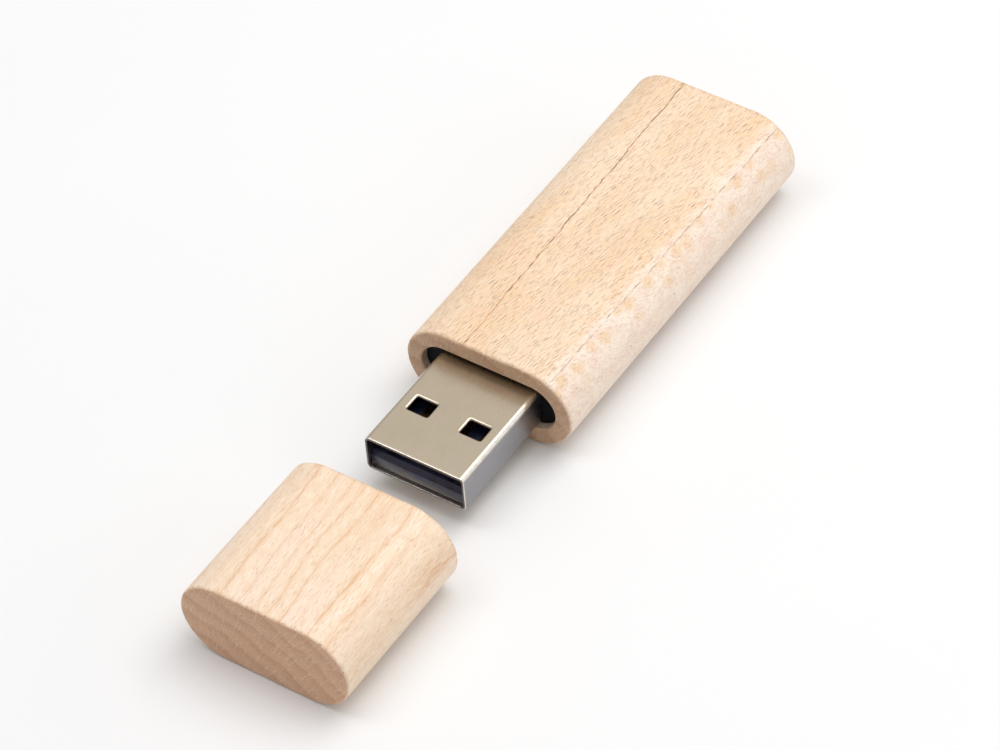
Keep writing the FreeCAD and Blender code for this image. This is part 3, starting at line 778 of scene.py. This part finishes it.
def nickel():
    """Satin nickel plate, fine in grain, with painted shade on its sides, a darker painted shade on its
    faces that face along the plug such as the cut edges, and a painted highlight, a little smoother, along
    its long corners and at its tip.
    """
    s = Surface("satin_nickel")
    fine = s.noise(s.place, scale=11.0, detail=3.0, roughness=0.75)
    rubbed = s.noise(s.mapping(s.place, scale=(5.0, 0.4, 5.0)), detail=4.0, roughness=0.7)
    dull = s.noise(s.place, scale=0.5, detail=3.0, roughness=0.6)
    colour = s.mix(s.step(dull, 0.35, 0.7), srgb(217, 206, 187), srgb(208, 197, 177))
    colour = s.mix(s.step(rubbed, 0.55, 0.8, 0.0, 0.3), colour, srgb(190, 180, 162))
    colour = s.mix(s.step(fine, 0.45, 0.75, 0.0, 0.4), colour, srgb(168, 158, 140))
    # Painted shade: faces that face sideways are greyed, as the plug's sides fall dark.
    sideways, lengthways, _ = s.split(s.coordinates.outputs["Normal"])
    side = s.step(s.math("ABSOLUTE", sideways), 0.80, 0.99)
    colour = s.mix(s.math("MULTIPLY", side, 0.85), colour, srgb(136, 137, 147))
    # Painted shade: faces that face along the plug, such as the sheet's cut edges, are given a dark grey.
    edge = s.step(s.math("ABSOLUTE", lengthways), 0.85, 0.98)
    colour = s.mix(s.math("MULTIPLY", edge, 0.85), colour, srgb(84, 84, 90))
    # Painted highlight: a near-white band along the long corners and at the tip, where the light glints
    # off the rounded sheet; the metal is also a little smoother there.
    across, along, _ = s.split(s.place)
    corner = s.step(s.math("ABSOLUTE", across), 5.50, 5.85)
    tip = s.step(along, TIP_Y / MM + 0.10, TIP_Y / MM + 0.40, 1.0, 0.0)
    bare = s.math("SUBTRACT", 1.0, s.math("MAXIMUM", side, edge))
    painted_highlight = s.math("MULTIPLY", s.math("MAXIMUM", corner, tip), bare)
    uneven = s.step(s.noise(s.place, scale=1.6, detail=3.0), 0.3, 0.6, 0.45, 1.0)
    painted_highlight = s.math("MULTIPLY", painted_highlight, uneven)
    colour = s.mix(s.math("MULTIPLY", painted_highlight, 0.7), colour, srgb(238, 234, 226))
    rough = s.math("ADD", s.step(dull, 0.3, 0.7, 0.24, 0.29), s.step(fine, 0.3, 0.8, 0.0, 0.08))
    rough = s.math("MULTIPLY_ADD", edge, 0.15, s.math("MULTIPLY_ADD", painted_highlight, -0.07, rough))
    return s.finish(Base_Color=colour, Metallic=1.0, Roughness=rough, Normal=s.bump(fine, 0.003 * MM, 0.6))


def black_plastic(name, dark, light, roughness, specular):
    """Moulded black plastic with a fine spark-eroded texture."""
    s = Surface(name)
    fine = s.noise(s.place, scale=18.0, detail=2.0)
    broad = s.noise(s.place, scale=0.8, detail=2.0)
    colour = s.mix(s.step(broad, 0.3, 0.7), dark, light)
    rough = s.step(s.math("ADD", fine, broad), 0.7, 1.3, roughness, roughness + 0.14)
    return s.finish(
        Base_Color=colour,
        Roughness=rough,
        Specular_IOR_Level=specular,
        Normal=s.bump(fine, 0.004 * MM, 0.5),
    )


def plain_metal(name, light, dark, roughness, size):
    """A small bright metal part: two tones and an uneven roughness."""
    s = Surface(name)
    tone = s.noise(s.place, scale=size, detail=3.0, roughness=0.6)
    fine = s.noise(s.place, scale=size * 6, detail=2.0)
    colour = s.mix(s.step(tone, 0.35, 0.65), light, dark)
    rough = s.step(fine, 0.3, 0.7, roughness - 0.06, roughness + 0.08)
    return s.finish(Base_Color=colour, Metallic=1.0, Roughness=rough, Normal=s.bump(fine, 0.004 * MM, 0.4))


def moulding(name, light, dark, roughness, size):
    """A moulded, fired or set material that isn't metal."""
    s = Surface(name)
    tone = s.noise(s.place, scale=size, detail=3.0)
    fine = s.noise(s.place, scale=size * 8, detail=2.0)
    colour = s.mix(s.step(tone, 0.35, 0.65), light, dark)
    rough = s.step(fine, 0.3, 0.7, roughness - 0.05, roughness + 0.08)
    return s.finish(Base_Color=colour, Roughness=rough, Normal=s.bump(fine, 0.006 * MM, 0.5))


def board_laminate():
    """Green solder mask over a faint weave of glass cloth, with paler copper tracks under it."""
    s = Surface("green_laminate")
    x, y, _ = s.split(s.place)
    threads = 2 * math.pi / 0.5
    weave_x = s.math("SINE", s.math("MULTIPLY", x, threads))
    weave_y = s.math("SINE", s.math("MULTIPLY", y, threads))
    weave = s.math("MULTIPLY", weave_x, weave_y)
    tracks = s.cells(s.mapping(s.place, scale=(1.3, 0.55, 1.0)))
    colour = s.mix(s.step(tracks, 0.34, 0.38), srgb(24, 112, 58), srgb(12, 86, 44))
    colour = s.mix(s.step(weave, -1.0, 1.0, 0.0, 0.18), colour, srgb(70, 140, 90))
    rough = s.step(weave, -1.0, 1.0, 0.3, 0.38)
    return s.finish(Base_Color=colour, Roughness=rough, Normal=s.bump(weave, 0.004 * MM, 0.4))


def floor_material():
    """A plain pale table top."""
    s = Surface("pale_table")
    tone = s.noise(s.place, scale=0.02, detail=2.0)
    colour = s.mix(tone, (0.84, 0.84, 0.84), (0.87, 0.87, 0.865))
    return s.finish(Base_Color=colour, Roughness=0.6, Specular_IOR_Level=0.2)


# ==== putting it together ===========================================================================
def dress_piece(piece, material, body, slot_name, *nodes):
    """Gives a piece its material and body, and hides the CAD nodes it stands for. slot_name is not used.
    """
    piece.data.materials.clear()
    piece.data.materials.append(material)
    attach(piece, body)
    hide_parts(*nodes)


def dress_nodes(material, *nodes):
    """Gives CAD nodes a material."""
    for name in nodes:
        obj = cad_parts[name]
        for slot in obj.material_slots:
            slot.material = material
        if not obj.material_slots:
            obj.data.materials.append(material)


def build_pieces():
    """Makes the pieces that stand for CAD nodes, and gives every other node its material."""
    plastic = black_plastic("navy_black_plastic", srgb(32, 35, 58), srgb(46, 52, 84), 0.26, 0.6)
    matt = black_plastic("matt_black_plastic", srgb(10, 10, 12), srgb(14, 14, 17), 0.6, 0.15)
    dress_piece(wood_housing_piece(), housing_wood(), "drive", "maple", "wood_housing")
    dress_piece(wood_cap_piece(), cap_wood(), "cap", "maple", "wood_cap")
    dress_piece(shell_piece(), nickel(), "drive", "nickel_plate", "plug_shell")
    dress_piece(insulator_piece(), plastic, "drive", "black_plastic", "plug_insulator")
    magnet_metal = plain_metal("magnet_plate", srgb(222, 220, 214), srgb(205, 202, 196), 0.18, 0.8)
    dress_piece(magnet_piece(), magnet_metal, "cap", "magnet_nickel", "cap_magnet")

    dress_nodes(matt, "board_carrier")
    gold = plain_metal("gold_plate", srgb(236, 192, 104), srgb(220, 172, 86), 0.22, 1.2)
    dress_nodes(gold, *CONTACTS)
    dress_nodes(board_laminate(), "circuit_board")
    tin = plain_metal("tin", srgb(205, 205, 203), srgb(180, 180, 178), 0.3, 2.0)
    dress_nodes(
        tin,
        "contact_solder",
        "leg_solder",
        "controller_leads",
        "memory_leads",
        "crystal_lid",
        "capacitor_ends",
        "resistor_ends",
        "ferrite_bead_ends",
        "regulator_leads",
    )
    epoxy = moulding("chip_epoxy", srgb(34, 34, 36), srgb(26, 26, 28), 0.55, 1.5)
    dress_nodes(epoxy, "controller_chip", "memory_chip", "regulator_body")
    tan_ceramic = moulding("tan_ceramic", srgb(178, 138, 98), srgb(160, 122, 84), 0.5, 3.0)
    dress_nodes(tan_ceramic, "capacitor_bodies")
    dark_ceramic = moulding("dark_ceramic", srgb(52, 52, 56), srgb(38, 38, 42), 0.45, 3.0)
    dress_nodes(dark_ceramic, "crystal_base", "resistor_bodies", "ferrite_bead")
    glue = moulding("set_glue", srgb(226, 220, 200), srgb(214, 206, 184), 0.3, 1.0)
    dress_nodes(glue, "magnet_glue", "carrier_glue")


def make_floor():
    """A wide plain table top under the drive."""
    bm = bmesh.new()
    bmesh.ops.create_grid(bm, x_segments=1, y_segments=1, size=2.0)
    floor = mesh_object("table", bm)
    floor.data.materials.append(floor_material())


def make_camera():
    """The camera stands front right and above, tilted a little, with the whole drive in its middle."""
    level = Vector((math.cos(CAMERA_AZIMUTH), math.sin(CAMERA_AZIMUTH), 0))
    outward = Vector((math.sin(CAMERA_AZIMUTH), -math.cos(CAMERA_AZIMUTH), 0))
    back = math.cos(CAMERA_ELEVATION) * outward + math.sin(CAMERA_ELEVATION) * Vector((0, 0, 1))
    lift = back.cross(level)
    right = math.cos(CAMERA_ROLL) * level + math.sin(CAMERA_ROLL) * lift
    up = back.cross(right)
    low, high = cad_box
    middle = (low + high) / 2
    data = bpy.data.cameras.new("camera")
    data.lens = CAMERA_LENS
    data.sensor_width = SENSOR_WIDTH
    data.clip_start, data.clip_end = 0.01, 10.0
    camera = bpy.data.objects.new("camera", data)
    bpy.context.scene.collection.objects.link(camera)
    place = middle + back * CAMERA_DISTANCE
    camera.matrix_world = Matrix.Translation(place) @ Matrix((right, up, back)).transposed().to_4x4()
    bpy.context.scene.camera = camera


def softbox(name, place, size, power, colour):
    """An area light at a place, aimed at the drive."""
    data = bpy.data.lights.new(name, "AREA")
    data.shape = "RECTANGLE"
    data.size, data.size_y = size
    data.energy = power
    data.color = colour
    light = bpy.data.objects.new(name, data)
    bpy.context.scene.collection.objects.link(light)
    light.location = place
    light.rotation_mode = "QUATERNION"
    light.rotation_quaternion = (-light.location).to_track_quat("-Z", "Y")


def make_lights():
    """Two overhead softboxes, a dim warm card behind on the left, a right fill and a pale surround."""
    softbox("overhead", (0.10, 0.15, 0.52), (0.42, 0.48), 1.97, (1.0, 0.99, 0.97))
    softbox("overhead_front", (-0.20, -0.10, 0.50), (0.20, 0.24), 0.52, (1.0, 0.99, 0.98))
    softbox("back_left", (-0.42, 0.48, 0.62), (0.5, 0.4), 0.16, (1.0, 0.80, 0.50))
    softbox("right", (0.5, 0.15, 0.22), (0.5, 0.3), 0.37, (1.0, 0.99, 0.98))
    world = bpy.data.worlds.new("surround")
    world.use_nodes = True
    ground = world.node_tree.nodes["Background"]
    ground.inputs["Color"].default_value = (0.95, 0.96, 1.0, 1.0)
    ground.inputs["Strength"].default_value = 0.47
    bpy.context.scene.world = world


def set_tones():
    """Plain tones, with no film look."""
    view = bpy.context.scene.view_settings
    view.view_transform = "Standard"
    view.look = "None"
    view.exposure = 0.0
    view.gamma = 1.0


build_pieces()
make_floor()
make_camera()
make_lights()
set_tones()
